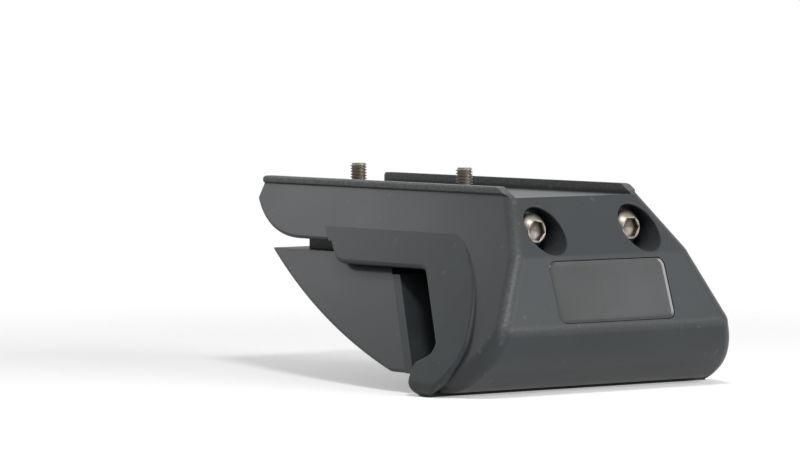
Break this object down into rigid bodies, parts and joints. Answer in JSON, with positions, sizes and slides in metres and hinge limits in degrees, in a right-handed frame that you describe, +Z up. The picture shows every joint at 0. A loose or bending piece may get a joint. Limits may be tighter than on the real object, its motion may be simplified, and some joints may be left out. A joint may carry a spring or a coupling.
{
  "type": "roof bar foot",
  "caption": "Moulded foot for a car roof crossbar: flat bar seat, hooked rubber-lined arch over a flat oval roof rail, and a screw-driven sliding jaw that grips the rail.",
  "frame": {"origin": "middle of the flat seat under the crossbar", "axes": "+Z up out of the seat, +X along the crossbar to the outboard side of the car, Y along the roof rail"},
  "size_m": [0.1608, 0.1236, 0.0724],
  "materials": {
    "leg_plastic": "charcoal, fine moulded texture",
    "pad_rubber": "soft black rubber, slight sheen",
    "jaw_plastic": "charcoal, fine moulded texture",
    "jaw_rubber": "soft black rubber",
    "badge_gloss": "blank, charcoal under clear lacquer",
    "bolt_steel": "turned steel, dull warm plating",
    "washer_steel": "stamped steel, dull plating",
    "nut_steel": "plated steel"
  },
  "bodies": {
    "leg": {"leg_body": "leg_plastic", "rail_pad": "pad_rubber", "badge_plate": "badge_gloss", "front_bolt_washer": "washer_steel", "rear_bolt_washer": "washer_steel", "inboard_bar_screw": "bolt_steel", "outboard_bar_screw": "bolt_steel", "inboard_bar_washer": "washer_steel", "outboard_bar_washer": "washer_steel", "inboard_lock_washer": "washer_steel", "outboard_lock_washer": "washer_steel"},
    "jaw": {"clamp_jaw": "jaw_plastic", "jaw_pad": "jaw_rubber", "front_jaw_nut": "nut_steel", "rear_jaw_nut": "nut_steel"},
    "front_bolt": {"front_clamp_bolt": "bolt_steel", "front_bolt_retainer": "washer_steel"},
    "rear_bolt": {"rear_clamp_bolt": "bolt_steel", "rear_bolt_retainer": "washer_steel"}
  },
  "joints": [
    {"name": "front_bolt_spin", "type": "hinge", "parent": "leg", "child": "front_bolt", "pos_m": [0.0682, -0.0204, -0.011], "axis": [1, 0, 0], "range_deg": [0, 5405]},
    {"name": "rear_bolt_spin", "type": "hinge", "parent": "leg", "child": "rear_bolt", "pos_m": [0.0682, 0.0204, -0.011], "axis": [1, 0, 0], "range_deg": [0, 5405]},
    {"name": "jaw_slide", "type": "slide", "parent": "leg", "child": "jaw", "axis": [-1, 0, 0], "range_m": [0, 0.015]}
  ],
  "couplings": [
    {"joint": "front_bolt_spin", "follows": "jaw_slide", "rad_per_m": 6283.2},
    {"joint": "rear_bolt_spin", "follows": "jaw_slide", "rad_per_m": 6283.2}
  ]
}
